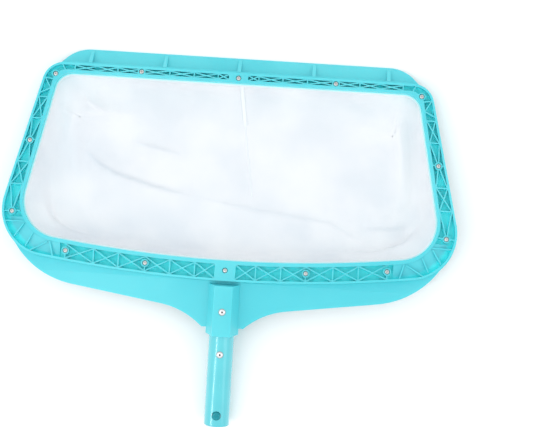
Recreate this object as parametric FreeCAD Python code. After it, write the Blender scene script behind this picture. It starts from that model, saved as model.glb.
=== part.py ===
"""Leaf skimmer net: moulded scoop frame, screwed-on clamp ring, net bag and riveted handle tube.

The pieces are laid out in the ring's own plane: X across, +Y from the handle to the scoop blade,
and Z = 0 on the clamp ring's top face. At the end everything is tipped onto the blade's edge and
the handle's end, the way the skimmer lies on a flat surface.
"""
import FreeCAD, Part
import math
import os

os.makedirs("parts", exist_ok=True)
Vector = FreeCAD.Vector

# ---------------------------------------------------------------- driving dimensions, mm
# Outlines of the frame-shaped pieces. low_y: the handle-side bar at the centre line. side_x: half
# width at y = SIDE_REF_Y. lean: how far a side moves out for each mm towards the handle.
SIDE_REF_Y = 100.0
BOW_RADIUS = 1400.0
BOW_REACH = 176.0
RING_OUTER = {"low_y": -11.5, "side_x": 239.4, "lean": 0.24, "top_y": 218.0, "low_r": 52.0, "top_r": 24.0}
OPENING = {"low_y": 10.7, "side_x": 220.9, "lean": 0.205, "top_y": 206.8, "low_r": 42.0, "top_r": 20.0}
POCKET_OUTER = {"low_y": -9.2, "side_x": 237.0, "lean": 0.24, "top_y": 215.4, "low_r": 49.5, "top_r": 21.0}
POCKET_INNER = {"low_y": 6.5, "side_x": 224.3, "lean": 0.20, "top_y": 210.0, "low_r": 46.0, "top_r": 16.0}

# Clamp ring with its open pockets, truss ribs and screw bosses.
RING_HEIGHT = 8.5
POCKET_FLOOR = 1.3
RIB_WIDTH = 1.3
RIB_BURIED = 0.05
RIB_SUNK = 0.3
LOW_BLOCK = 11.3
TOP_BLOCK = 10.7
LOW_CELLS = [11.3, 33.2, 60.5, 87.7, 117.0, 144.5, 175.6]
LOW_CROSS_RIBS = [33.2, 60.5, 117.0, 144.5]
TOP_CELLS = [10.7, 22.5, 49.0, 76.0, 107.2, 133.5, 156.0, 181.0]
TOP_CROSS_RIBS = [22.5, 49.0, 76.0, 133.5, 181.0]
SIDE_X_CELLS = [(178.0, 154.0), (105.0, 80.0)]
SIDE_CROSS_RIBS = [178.0, 154.0, 105.0, 80.0]
CORNER_RIBS = [
    ((195.8, 217.0), (190.8, 208.0)),
    ((215.0, 199.8), (200.0, 198.2)),
    ((213.5, 200.5), (205.5, 187.0)),
    ((205.5, 188.5), (221.0, 180.8)),
    ((193.5, 19.5), (188.7, 1.0)),
    ((196.0, 18.5), (214.5, 8.0)),
    ((212.0, 28.5), (220.0, 12.5)),
    ((223.0, 37.5), (233.0, 22.5)),
    ((222.0, 39.2), (246.0, 38.6)),
]
RAMP_CENTRE = (184.4, 65.1)
RAMP_INNER_R = 46.5
RAMP_OUTER_R = 66.0
RAMP_TOP = 1.4

# Ring screws, half of them; those off the centre line are mirrored.
SCREW_POINTS = [
    (0.0, 212.0), (107.2, 212.6), (202.0, 204.5), (224.5, 129.0),
    (237.6, 49.7), (175.6, 10.2), (87.7, 2.4), (0.0, 0.0),
]
BOSS_R = 4.25
HEAD_R = 2.75
HEAD_HEIGHT = 2.0
HEAD_SUNK = 0.3
HEAD_ROOM = 0.25
SHANK_R = 1.45
SCREW_LENGTH = 13.4
SHANK_ROOM = 0.25
RECESS_SPAN = 3.2
RECESS_WIDTH = 0.75
RECESS_DEPTH = 1.1

# Hem of the net, clamped between ring and frame.
HEM_THICKNESS = 0.6
HEM_INSIDE = 0.9
HEM_WIDTH = 8.0

# Moulded frame.
FLANGE_THICKNESS = 3.0
FLANGE_PROUD = 1.2
FLANGE_SET_BACK = 0.8
UNDER_BOSS_R = 3.8
UNDER_BOSS_DEPTH = 4.6
REAR_WALL_HEIGHT = 7.0
REAR_WALL_THICKNESS = 1.6
REAR_WALL_HALF = 188.0
BLADE_HALF = 182.5
BLADE_EDGE_Y = 237.0
BLADE_END = (204.5, 213.0)
BLADE_END_R = 37.0
BLADE_ANGLE = 20.0
BLADE_THICKNESS = 2.0
GUSSET_X = [0.0, 82.5, 165.0]
GUSSET_WIDTH = 3.8
GUSSET_REACH = 15.5

# Web plate between the handle-side bar and the socket, bent down along the line y = BEND_Y.
BEND_Y = -12.0
DROOP = 12.5
WEB_START_Y = 90.0
WEB_TOP_Y = 66.0
WEB_CORNER = (249.2, -13.4)
WEB_CORNER_R = 95.0
WEB_HOLLOW = (42.9, -43.7)
WEB_HOLLOW_R = 85.0
WEB_TIP = (23.0, -62.0)
LIP_WIDTH = 2.2
LIP_DEPTH = 4.5
WEB_RIBS = [((17.0, -20.0), (150.0, -14.0)), ((17.0, -36.0), (118.0, -30.0))]
WEB_RIB_WIDTH = 1.6

# Hexagonal socket, measured along the handle from the bend line.
SOCKET_START = 2.0
SOCKET_END = 57.7
SOCKET_FLOOR = 3.0
SOCKET_TOP_HALF = 9.9
SOCKET_CORNER_HALF = 18.0
SOCKET_HALF_HEIGHT = 17.0
SOCKET_FIT = 0.05

# Handle tube, rivets and spring clip.
TUBE_R = 14.0
TUBE_WALL = 1.5
TUBE_END = 160.0
TUBE_RELIEF = 0.2
GUIDE_START = 84.0
GUIDE_END = 141.0
SOCKET_RIVET_AT = 30.5
STOP_RIVET_AT = 78.6
BUTTON_AT = 147.3
BUTTON_HOLE_R = 4.9
RIVET_HEAD_R = 3.9
RIVET_HEAD_HEIGHT = 1.3
RIVET_SHANK_R = 2.4
RIVET_TAIL_R = 3.1
RIVET_TAIL_LENGTH = 6.5
RIVET_ROOM = 0.05
MANDREL_R = 0.9
CLIP_WIDTH = 11.0
CLIP_THICKNESS = 1.0
CLIP_BEND_R = 6.0
CLIP_END_OFFSET = 9.3
CLIP_TIP_AT = 153.5
CLIP_GAP = 0.3
BUTTON_R = 4.4
BUTTON_PROUD = 1.2
BUTTON_EDGE = 0.8

# Net bag, lying slack under the frame.
BAG_WALL = 1.2
BAG_CLEAR = 0.3
BAG_LEAN = 20.0
BAG_DEPTH = 50.0
BAG_LIFT = 0.3

HEM_TOP = -RING_HEIGHT
HEM_BOTTOM = HEM_TOP - HEM_THICKNESS
FLANGE_BOTTOM = HEM_BOTTOM - FLANGE_THICKNESS
FLANGE_MIDDLE = HEM_BOTTOM - FLANGE_THICKNESS / 2
DROOP_RAD = math.radians(DROOP)


# ---------------------------------------------------------------- outline and placing helpers
def rounded_wire(corners):
    """Closed wire through (x, y, radius) corners, each rounded by a tangent arc."""
    count = len(corners)
    starts = []
    ends = []
    middles = []
    for i, (x, y, radius) in enumerate(corners):
        corner = Vector(x, y, 0)
        back = (Vector(*corners[i - 1][:2], 0) - corner).normalize()
        ahead = (Vector(*corners[(i + 1) % count][:2], 0) - corner).normalize()
        if radius == 0:
            starts.append(corner)
            middles.append(None)
            ends.append(corner)
            continue
        half = back.getAngle(ahead) / 2
        tangent = radius / math.tan(half)
        centre = corner + (back + ahead).normalize() * (radius / math.sin(half))
        starts.append(corner + back * tangent)
        middles.append(centre + (corner - centre).normalize() * radius)
        ends.append(corner + ahead * tangent)
    edges = []
    for i in range(count):
        if middles[i] is not None:
            edges.append(Part.Arc(starts[i], middles[i], ends[i]).toShape())
        if ends[i].distanceToPoint(starts[(i + 1) % count]) > 1e-6:
            edges.append(Part.LineSegment(ends[i], starts[(i + 1) % count]).toShape())
    return Part.Wire(edges)


def frame_wire(outline, grow=0.0):
    """Outline of a frame-shaped piece, grown outwards by the given distance."""
    slope = math.tan(math.asin(BOW_REACH / BOW_RADIUS))
    bow_rise = BOW_RADIUS * (math.hypot(1.0, slope) - 1.0)
    lean = outline["lean"]
    low = outline["low_y"] - grow - bow_rise
    side = outline["side_x"] + grow * math.hypot(1.0, lean) + SIDE_REF_Y * lean
    top = outline["top_y"] + grow
    low_x = (side - low * lean) / (1.0 + slope * lean)
    low_y = low + slope * low_x
    top_x = side - top * lean
    low_r = outline["low_r"] + grow
    top_r = outline["top_r"] + grow
    return rounded_wire([
        (0.0, low, BOW_RADIUS),
        (low_x, low_y, low_r),
        (top_x, top, top_r),
        (-top_x, top, top_r),
        (-low_x, low_y, low_r),
    ])


def prism(wire, bottom, top):
    face = Part.Face(wire)
    face.translate(Vector(0, 0, bottom))
    return face.extrude(Vector(0, 0, top - bottom))


def box(x0, x1, y0, y1, z0, z1):
    return Part.makeBox(x1 - x0, y1 - y0, z1 - z0, Vector(x0, y0, z0))


def rod(x, y, radius, bottom, top):
    return Part.makeCylinder(radius, top - bottom, Vector(x, y, bottom))


def rib(start, end, width, bottom, top, buried=0.0):
    """Straight wall between two plan points, running on past both of them by the buried length."""
    dx = end[0] - start[0]
    dy = end[1] - start[1]
    wall = box(-buried, math.hypot(dx, dy) + buried, -width / 2, width / 2, bottom, top)
    wall.rotate(Vector(0, 0, 0), Vector(0, 0, 1), math.degrees(math.atan2(dy, dx)))
    wall.translate(Vector(start[0], start[1], 0))
    return wall


def both_sides(shapes):
    """The shapes and their mirror images across the centre plane."""
    return shapes + [s.mirror(Vector(0, 0, 0), Vector(1, 0, 0)) for s in shapes]


def fuse_all(shapes):
    return shapes[0].multiFuse(shapes[1:]).removeSplitter() if len(shapes) > 1 else shapes[0]


def along_handle(shape):
    """Place a shape drawn with the handle along -Y (y = -distance) and its axis at z = 0."""
    shape.rotate(Vector(0, 0, 0), Vector(1, 0, 0), DROOP)
    shape.translate(Vector(0, BEND_Y, FLANGE_MIDDLE))
    return shape


def mirrored_points(points):
    return [(s * x, y) for x, y in points for s in ((1, -1) if x else (1,))]


# ---------------------------------------------------------------- clamp ring
def low_bar_y(outline, x):
    return outline["low_y"] + x * x / (2 * BOW_RADIUS)


def side_bar_x(outline, y):
    return outline["side_x"] + (SIDE_REF_Y - y) * outline["lean"]


def truss_ribs(bottom, top):
    lines = list(CORNER_RIBS)
    for x0, x1 in zip(LOW_CELLS, LOW_CELLS[1:]):
        lines.append(((x0, low_bar_y(POCKET_OUTER, x0)), (x1, low_bar_y(POCKET_INNER, x1))))
        lines.append(((x0, low_bar_y(POCKET_INNER, x0)), (x1, low_bar_y(POCKET_OUTER, x1))))
    for x in LOW_CROSS_RIBS:
        lines.append(((x, low_bar_y(POCKET_OUTER, x) - 1), (x, low_bar_y(POCKET_INNER, x) + 1)))
    top_in = POCKET_INNER["top_y"]
    top_out = POCKET_OUTER["top_y"]
    for x0, x1 in zip(TOP_CELLS, TOP_CELLS[1:]):
        lines.append(((x0, top_in), (x1, top_out)))
        lines.append(((x0, top_out), (x1, top_in)))
    for x in TOP_CROSS_RIBS:
        lines.append(((x, top_in - 1), (x, top_out + 1)))
    for y in SIDE_CROSS_RIBS:
        lines.append(((side_bar_x(POCKET_INNER, y) - 1, y), (side_bar_x(POCKET_OUTER, y) + 1, y)))
    for y0, y1 in SIDE_X_CELLS:
        lines.append(((side_bar_x(POCKET_INNER, y0), y0), (side_bar_x(POCKET_OUTER, y1), y1)))
        lines.append(((side_bar_x(POCKET_OUTER, y0), y0), (side_bar_x(POCKET_INNER, y1), y1)))
    for boss, corner_ys in ((SCREW_POINTS[3], (154.0, 105.0)), (SCREW_POINTS[4], (80.0,))):
        for y in corner_ys:
            lines.append((boss, (side_bar_x(POCKET_INNER, y), y)))
            lines.append((boss, (side_bar_x(POCKET_OUTER, y), y)))
        lines.append(((boss[0] - 9, boss[1] + 1), (boss[0] + 10, boss[1] - 0.5)))
    for x in (LOW_CELLS[3], LOW_CELLS[6]):
        lines.append(((x, low_bar_y(POCKET_OUTER, x) - 1), (x, 0.5 * x * x / BOW_RADIUS)))
    return both_sides([rib(a, b, RIB_WIDTH, bottom, top, RIB_BURIED) for a, b in lines])


def make_clamp_ring():
    floor = POCKET_FLOOR - RING_HEIGHT
    band = prism(frame_wire(RING_OUTER), -RING_HEIGHT, 0)
    band = band.cut(prism(frame_wire(OPENING), -RING_HEIGHT - 1, 1))
    pocket = prism(frame_wire(POCKET_OUTER), floor, 1)
    pocket = pocket.cut(prism(frame_wire(POCKET_INNER), floor - 1, 2))
    blocks = [
        box(-TOP_BLOCK, TOP_BLOCK, POCKET_INNER["top_y"] - 9, POCKET_OUTER["top_y"] + 5, floor - 1, 2),
        box(-LOW_BLOCK, LOW_BLOCK, POCKET_OUTER["low_y"] - 5, POCKET_INNER["low_y"] + 5, floor - 1, 2),
    ]
    slope = (RAMP_OUTER_R - RAMP_INNER_R) / (-RAMP_TOP - floor)
    ramp_zone = box(182, 260, -10, 44, floor - 1, 0)
    ramp = Part.makeCone(RAMP_OUTER_R + slope, RAMP_INNER_R, -RAMP_TOP - floor + 1, Vector(*RAMP_CENTRE, floor - 1))
    keep = truss_ribs(floor - 1, -RIB_SUNK)
    keep += both_sides([ramp.common(ramp_zone)])
    keep += [rod(x, y, BOSS_R, floor - 1, 0) for x, y in mirrored_points(SCREW_POINTS)]
    void = pocket.cut(blocks).cut(keep)
    holes = []
    for x, y in mirrored_points(SCREW_POINTS):
        holes.append(rod(x, y, SHANK_R + SHANK_ROOM, -RING_HEIGHT - 1, 1))
        holes.append(rod(x, y, HEAD_R + HEAD_ROOM, -HEAD_SUNK - HEAD_HEIGHT, 1))
    return band.cut(void).cut(holes)


# ---------------------------------------------------------------- screws and rivets
def make_screw(x, y):
    under_head = -HEAD_SUNK - HEAD_HEIGHT
    screw = rod(x, y, HEAD_R, under_head, -HEAD_SUNK)
    screw = screw.makeFillet(0.6, [screw.Edges[0]])
    screw = screw.fuse(rod(x, y, SHANK_R, under_head - SCREW_LENGTH, under_head))
    top = -HEAD_SUNK
    cross = [
        rib((x - RECESS_SPAN / 2, y), (x + RECESS_SPAN / 2, y), RECESS_WIDTH, top - RECESS_DEPTH, 1),
        rib((x, y - RECESS_SPAN / 2), (x, y + RECESS_SPAN / 2), RECESS_WIDTH, top - RECESS_DEPTH, 1),
    ]
    return screw.cut(cross)


def make_ring_screws():
    return Part.makeCompound([make_screw(x, y) for x, y in mirrored_points(SCREW_POINTS)])


def make_rivet(at, seat, wall_inside):
    """Blind rivet across the handle: domed head on the seat, set tail under the tube's wall."""
    dome = RIVET_HEAD_HEIGHT
    ball_r = (RIVET_HEAD_R ** 2 + dome ** 2) / (2 * dome)
    head = Part.makeSphere(ball_r, Vector(0, -at, seat + dome - ball_r))
    head = head.common(rod(0, -at, RIVET_HEAD_R, seat, seat + dome + 1))
    shank = rod(0, -at, RIVET_SHANK_R, wall_inside - 1, seat + 0.2)
    tail_top = math.sqrt(wall_inside ** 2 - RIVET_TAIL_R ** 2) - RIVET_ROOM
    tail = rod(0, -at, RIVET_TAIL_R, tail_top - RIVET_TAIL_LENGTH, tail_top)
    rivet = fuse_all([head, shank, tail])
    rivet = rivet.cut(rod(0, -at, MANDREL_R, seat - 1, seat + dome + 1))
    return along_handle(rivet)


# ---------------------------------------------------------------- moulded frame
def web_wire(inset=0.0):
    """Plan outline of the web, from one widest point round the handle side to the other."""
    half = [
        (WEB_CORNER[0], WEB_START_Y, 0.0),
        (WEB_CORNER[0], WEB_CORNER[1], WEB_CORNER_R),
        (WEB_HOLLOW[0], WEB_HOLLOW[1], WEB_HOLLOW_R),
        (WEB_TIP[0], WEB_TIP[1], 0.0),
    ]
    wire = rounded_wire(half + [(-x, y, r) for x, y, r in reversed(half)])
    return wire.makeOffset2D(-inset) if inset else wire


def slab(depth_top, depth_bottom, drooped):
    """Big plate between two levels about the flange's middle, flat or bent down with the handle."""
    plate = box(-300, 300, -300, 300, depth_bottom, depth_top)
    if drooped:
        return along_handle(plate).common(box(-300, 300, -300, BEND_Y, -200, 100))
    plate.translate(Vector(0, 0, FLANGE_MIDDLE))
    return plate.common(box(-300, 300, BEND_Y, WEB_TOP_Y, -200, 100))


def make_web():
    half = FLANGE_THICKNESS / 2
    outline = prism(web_wire(), -120, 60)
    rim = outline.cut(prism(web_wire(LIP_WIDTH), -130, 70))
    pieces = []
    for drooped in (False, True):
        pieces.append(outline.common(slab(half, -half, drooped)))
        pieces.append(rim.common(slab(0, -half - LIP_DEPTH, drooped)))
    for rib_shape in both_sides([rib(a, b, WEB_RIB_WIDTH, -120, 60) for a, b in WEB_RIBS]):
        pieces.append(rib_shape.common(outline).common(slab(0, -half - LIP_DEPTH, True)))
    return pieces


def make_socket():
    corners = [
        (SOCKET_TOP_HALF, SOCKET_HALF_HEIGHT), (SOCKET_CORNER_HALF, 0),
        (SOCKET_TOP_HALF, -SOCKET_HALF_HEIGHT), (-SOCKET_TOP_HALF, -SOCKET_HALF_HEIGHT),
        (-SOCKET_CORNER_HALF, 0), (-SOCKET_TOP_HALF, SOCKET_HALF_HEIGHT),
    ]
    points = [Vector(x, -SOCKET_START, z) for x, z in corners]
    face = Part.Face(Part.makePolygon(points + points[:1]))
    return along_handle(face.extrude(Vector(0, SOCKET_START - SOCKET_END, 0)))


def make_blade():
    """Sloping scoop blade with its rear wall and gussets."""
    corners = [
        (BLADE_END[0], BLADE_END[1], 0.0), (BLADE_HALF, BLADE_EDGE_Y, BLADE_END_R),
        (-BLADE_HALF, BLADE_EDGE_Y, BLADE_END_R), (-BLADE_END[0], BLADE_END[1], 0.0),
    ]
    wall_y = RING_OUTER["top_y"] + 0.1
    wall_front = wall_y + REAR_WALL_THICKNESS
    wall_top = HEM_BOTTOM + REAR_WALL_HEIGHT
    plate = box(-300, 300, -30, 60, -BLADE_THICKNESS, 0)
    plate.rotate(Vector(0, 0, 0), Vector(1, 0, 0), -BLADE_ANGLE)
    plate.translate(Vector(0, wall_y - 2, HEM_BOTTOM))
    blade = prism(rounded_wire(corners), -60, HEM_BOTTOM).common(plate)
    blade = blade.cut(prism(frame_wire(RING_OUTER, -1.0), HEM_BOTTOM - 0.05, 5))
    rear_wall = box(-REAR_WALL_HALF, REAR_WALL_HALF, wall_y, wall_front, HEM_BOTTOM - 1, wall_top)
    drop = math.tan(math.radians(BLADE_ANGLE))
    gussets = []
    for x in GUSSET_X:
        foot_y = wall_front + GUSSET_REACH
        foot_z = HEM_BOTTOM - (foot_y - wall_y + 2) * drop
        profile = [
            Vector(x - GUSSET_WIDTH / 2, wall_front - 0.5, wall_top),
            Vector(x - GUSSET_WIDTH / 2, foot_y, foot_z),
            Vector(x - GUSSET_WIDTH / 2, wall_front - 0.5, HEM_BOTTOM - 2.2),
        ]
        gusset = Part.Face(Part.makePolygon(profile + profile[:1])).extrude(Vector(GUSSET_WIDTH, 0, 0))
        gussets += both_sides([gusset]) if x else [gusset]
    return [blade, rear_wall] + gussets


def make_main_frame():
    proud = frame_wire(RING_OUTER, FLANGE_PROUD)
    opening = prism(frame_wire(OPENING, FLANGE_SET_BACK), -120, 60)
    flange = prism(proud, FLANGE_BOTTOM, HEM_BOTTOM)
    inside_lip = prism(frame_wire(RING_OUTER, FLANGE_PROUD - LIP_WIDTH), -120, 60)
    lip = prism(proud, FLANGE_BOTTOM - LIP_DEPTH, FLANGE_BOTTOM + 0.5).cut(inside_lip)
    bosses = []
    holes = []
    for x, y in mirrored_points(SCREW_POINTS):
        bosses.append(rod(x, y, UNDER_BOSS_R, FLANGE_BOTTOM - UNDER_BOSS_DEPTH, FLANGE_BOTTOM + 1))
        tip = -HEAD_SUNK - HEAD_HEIGHT - SCREW_LENGTH
        holes.append(rod(x, y, SHANK_R, tip, 5))
    solid = fuse_all([flange, lip] + make_web() + make_blade())
    solid = solid.cut(opening)
    solid = fuse_all([solid, make_socket()] + bosses)
    bore_start = SOCKET_START + SOCKET_FLOOR
    bore = Part.makeCylinder(TUBE_R - TUBE_RELIEF + SOCKET_FIT, 90, Vector(0, -bore_start, 0), Vector(0, -1, 0))
    rivet_hole = rod(0, -SOCKET_RIVET_AT, RIVET_SHANK_R + RIVET_ROOM, 0, SOCKET_HALF_HEIGHT + 5)
    return solid.cut(holes + [along_handle(bore), along_handle(rivet_hole)])


# ---------------------------------------------------------------- handle tube and spring clip
def make_handle_tube():
    """Tube at its full radius along the stretch that guides the pole, and a hair less elsewhere."""
    start = SOCKET_START + SOCKET_FLOOR + 0.2
    axis = Vector(0, -1, 0)
    tube = Part.makeCylinder(TUBE_R - TUBE_RELIEF, TUBE_END - start, Vector(0, -start, 0), axis)
    guide = Part.makeCylinder(TUBE_R, GUIDE_END - GUIDE_START, Vector(0, -GUIDE_START, 0), axis)
    tube = tube.fuse(guide)
    bore = Part.makeCylinder(TUBE_R - TUBE_WALL, TUBE_END, Vector(0, -start + 1, 0), axis)
    holes = [rod(0, -BUTTON_AT, BUTTON_HOLE_R, -TUBE_R - 1, TUBE_R + 1)]
    for at in (SOCKET_RIVET_AT, STOP_RIVET_AT):
        holes.append(rod(0, -at, RIVET_SHANK_R + RIVET_ROOM, 0, TUBE_R + 1))
    tube = tube.cut([bore] + holes)
    return along_handle(tube)


def clip_pivot_at():
    """Distance along the handle of the clip's two flexing points."""
    return STOP_RIVET_AT + RIVET_TAIL_R + CLIP_THICKNESS / 2 + CLIP_BEND_R + 0.05


def make_clip_bend():
    centre = Vector(-CLIP_WIDTH / 2, -clip_pivot_at(), 0)
    outer = Part.makeCylinder(CLIP_BEND_R + CLIP_THICKNESS / 2, CLIP_WIDTH, centre, Vector(1, 0, 0))
    inner = Part.makeCylinder(CLIP_BEND_R - CLIP_THICKNESS / 2, CLIP_WIDTH, centre, Vector(1, 0, 0))
    keep = box(-20, 20, -clip_pivot_at(), 0, -20, 20)
    return along_handle(outer.cut(inner).common(keep))


def make_clip_leg(side):
    """Spring leg from the bend out to its tip, above (side 1) or below (side -1) the axis."""
    start = clip_pivot_at() + CLIP_GAP
    slope = (CLIP_END_OFFSET - CLIP_BEND_R) / (BUTTON_AT - start)
    tip = CLIP_BEND_R + slope * (CLIP_TIP_AT - start)
    half = CLIP_THICKNESS / 2
    profile = [
        Vector(-CLIP_WIDTH / 2, -start, side * (CLIP_BEND_R - half)),
        Vector(-CLIP_WIDTH / 2, -start, side * (CLIP_BEND_R + half)),
        Vector(-CLIP_WIDTH / 2, -CLIP_TIP_AT, side * (tip + half)),
        Vector(-CLIP_WIDTH / 2, -CLIP_TIP_AT, side * (tip - half)),
    ]
    leg = Part.Face(Part.makePolygon(profile + profile[:1])).extrude(Vector(CLIP_WIDTH, 0, 0))
    return along_handle(leg)


def make_clip_button(side):
    """Round locking button on the end of a leg."""
    seat = CLIP_END_OFFSET + CLIP_THICKNESS / 2 + 0.25
    top = TUBE_R + BUTTON_PROUD
    button = rod(0, -BUTTON_AT, BUTTON_R, seat, top)
    upper_edges = [e for e in button.Edges if e.BoundBox.ZMin > top - 0.1]
    button = button.makeFillet(BUTTON_EDGE, upper_edges)
    if side < 0:
        button.rotate(Vector(0, 0, 0), Vector(0, 1, 0), 180)
    return along_handle(button)


# ---------------------------------------------------------------- net
def make_hem():
    band = prism(frame_wire(OPENING, HEM_WIDTH), HEM_BOTTOM, HEM_TOP)
    band = band.cut(prism(frame_wire(OPENING, -HEM_INSIDE), HEM_BOTTOM - 1, HEM_TOP + 1))
    holes = [rod(x, y, SHANK_R + SHANK_ROOM, -30, 5) for x, y in mirrored_points(SCREW_POINTS)]
    return band.cut(holes)


def leaning_solid(shrink):
    """Solid under the opening whose walls lean in towards the bag's floor."""
    wires = []
    for depth, lean in ((0.0, 0.0), (BAG_DEPTH, BAG_LEAN)):
        wire = frame_wire(OPENING, -shrink - lean)
        wire.translate(Vector(0, 0, HEM_BOTTOM - depth))
        wires.append(wire)
    return Part.makeLoft(wires, True, True)


def make_net_bag(rest_angle, rest_point):
    """Slack bag: leaning walls from the hem down to a floor that lies on the resting surface."""
    cutters = []
    for lift in (BAG_LIFT, BAG_LIFT + BAG_WALL):
        ground = box(-400, 400, -400, 400, -200, lift)
        ground.rotate(Vector(0, 0, 0), Vector(1, 0, 0), -rest_angle)
        ground.translate(rest_point)
        cutters.append(ground)
    outer = leaning_solid(BAG_CLEAR).cut(cutters[0])
    inner = leaning_solid(BAG_CLEAR + BAG_WALL).cut(cutters[1])
    return outer.cut(inner)


# ---------------------------------------------------------------- resting pose and export
blade_low = Vector(0, BLADE_EDGE_Y, 0)
blade_run = BLADE_EDGE_Y - RING_OUTER["top_y"] + 1.9
blade_low.z = HEM_BOTTOM - blade_run * math.tan(math.radians(BLADE_ANGLE))
blade_low.z -= BLADE_THICKNESS / math.cos(math.radians(BLADE_ANGLE))
tube_low = along_handle(Part.Vertex(0, -TUBE_END, TUBE_RELIEF - TUBE_R)).Point
rest_angle = math.degrees(math.atan2(blade_low.z - tube_low.z, blade_low.y - tube_low.y))

pieces = {
    "main_frame": make_main_frame(),
    "clamp_ring": make_clamp_ring(),
    "ring_screws": make_ring_screws(),
    "net_hem": make_hem(),
    "net_bag": make_net_bag(-rest_angle, tube_low),
    "handle_tube": make_handle_tube(),
    "socket_rivet": make_rivet(SOCKET_RIVET_AT, SOCKET_HALF_HEIGHT, TUBE_R - TUBE_WALL),
    "stop_rivet": make_rivet(STOP_RIVET_AT, TUBE_R - TUBE_RELIEF, TUBE_R - TUBE_WALL),
    "clip_bend": make_clip_bend(),
    "clip_leg_upper": make_clip_leg(1),
    "clip_leg_lower": make_clip_leg(-1),
    "clip_button_upper": make_clip_button(1),
    "clip_button_lower": make_clip_button(-1),
}

for shape in pieces.values():
    shape.rotate(Vector(0, 0, 0), Vector(1, 0, 0), -rest_angle)
whole = Part.makeCompound(list(pieces.values())).optimalBoundingBox(False)
origin = Vector(0, (whole.YMin + whole.YMax) / 2, whole.ZMin)
for name, shape in pieces.items():
    shape.translate(origin * -1)
    shape.exportStep("parts/" + name + ".step")
    print(name, shape.isValid(), len(shape.Solids), round(shape.Volume, 1))

print("rest angle", round(rest_angle, 3), "size", whole.XLength, whole.YLength, whole.ZLength)
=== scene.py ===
"""Leaf skimmer net, put together in the order it is built: moulded frame, clamp ring, screws, net,
handle tube, rivets and spring clip, and then the floor, light and camera."""
import bmesh
import bpy
import math
from mathutils import Matrix, Vector
from mathutils.bvhtree import BVHTree
from mathutils.geometry import delaunay_2d_cdt


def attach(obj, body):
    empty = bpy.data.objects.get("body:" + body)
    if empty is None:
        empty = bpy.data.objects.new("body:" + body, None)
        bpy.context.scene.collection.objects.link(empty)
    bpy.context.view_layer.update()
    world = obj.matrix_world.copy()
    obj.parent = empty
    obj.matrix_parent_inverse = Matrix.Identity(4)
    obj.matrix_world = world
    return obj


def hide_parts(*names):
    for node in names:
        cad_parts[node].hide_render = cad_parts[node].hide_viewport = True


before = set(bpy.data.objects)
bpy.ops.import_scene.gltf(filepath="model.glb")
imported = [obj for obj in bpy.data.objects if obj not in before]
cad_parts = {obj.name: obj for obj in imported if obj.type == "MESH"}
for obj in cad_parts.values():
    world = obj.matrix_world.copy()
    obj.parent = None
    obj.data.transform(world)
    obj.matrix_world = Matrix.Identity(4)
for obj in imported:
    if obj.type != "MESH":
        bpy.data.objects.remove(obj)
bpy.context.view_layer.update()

# ---------------------------------------------------------------- moulded frame
# One injection moulding in light cyan polypropylene: flange, sloping scoop blade, web plate and the
# hexagonal socket that takes the handle. Everything else is screwed or riveted to it.
CYAN_PLATE = (0.118, 0.640, 0.708, 1.0)
CYAN_DEEP = (0.085, 0.590, 0.665, 1.0)
GLOW_FULL = -0.0064
GLOW_NONE = -0.0045


class Wire:
    """A socket of a finish. Arithmetic on it adds Math nodes."""

    def __init__(self, finish, socket):
        self.finish = finish
        self.socket = socket

    def maths(self, operation, first, second=0.0):
        return self.finish.node("ShaderNodeMath", {"operation": operation}, {0: first, 1: second})

    def __add__(self, other):
        return self.maths("ADD", self, other)

    def __rsub__(self, other):
        return self.maths("SUBTRACT", other, self)

    def __mul__(self, other):
        return self.maths("MULTIPLY", self, other)

    __radd__ = __add__


class Finish:
    """A material with one Principled shader, whose pattern is fixed to the object."""

    def __init__(self, name, constants, coordinates="Object"):
        self.material = bpy.data.materials.new(name)
        self.material.use_nodes = True
        self.tree = self.material.node_tree
        self.shader = self.tree.nodes["Principled BSDF"]
        for socket, value in constants.items():
            self.shader.inputs[socket].default_value = value
        self.place = self.node("ShaderNodeTexCoord", out=coordinates)

    def node(self, kind, settings=None, sockets=None, out=0):
        """Add a node, set it up, then feed its sockets with numbers, colours or wires."""
        made = self.tree.nodes.new(kind)
        for key, value in (settings or {}).items():
            if key == "stops":
                while len(made.color_ramp.elements) < len(value):
                    made.color_ramp.elements.new(0.5)
                for element, (at, colour) in zip(made.color_ramp.elements, value):
                    element.position = at
                    element.color = colour
            else:
                setattr(made, key, value)
        for key, value in (sockets or {}).items():
            self.feed(made.inputs[key], value)
        return Wire(self, made.outputs[out])

    def feed(self, socket, value):
        if isinstance(value, Wire):
            self.tree.links.new(value.socket, socket)
        else:
            socket.default_value = value

    def grain(self, scale, detail=2.0, stretch=(1.0, 1.0, 1.0)):
        """Noise from 0 to 1, with so many patches to the metre."""
        at = self.node("ShaderNodeMapping", {}, {"Vector": self.place, "Scale": stretch})
        return self.node("ShaderNodeTexNoise", {}, {"Vector": at, "Scale": scale, "Detail": detail})

    def ramp(self, value, low, high, start=0.0, end=1.0):
        """Smooth change from start to end as the value goes from low to high."""
        return self.node("ShaderNodeMapRange", {"interpolation_type": "SMOOTHSTEP"},
                         {0: value, 1: low, 2: high, 3: start, 4: end})

    def blend(self, share, first, second):
        return self.node("ShaderNodeMix", {"data_type": "RGBA"}, {0: share, 6: first, 7: second}, out=2)

    def surface(self, colour, roughness, height=None, relief=0.0, strength=1.0, alpha=None):
        """Feed what varies over the surface into the shader. Heights run from 0 to 1."""
        for socket, value in (("Base Color", colour), ("Roughness", roughness), ("Alpha", alpha)):
            if value is not None:
                self.feed(self.shader.inputs[socket], value)
        if height is not None:
            bump = self.node("ShaderNodeBump", {},
                             {"Strength": strength, "Distance": relief, "Height": height})
            self.feed(self.shader.inputs["Normal"], bump)


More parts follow.
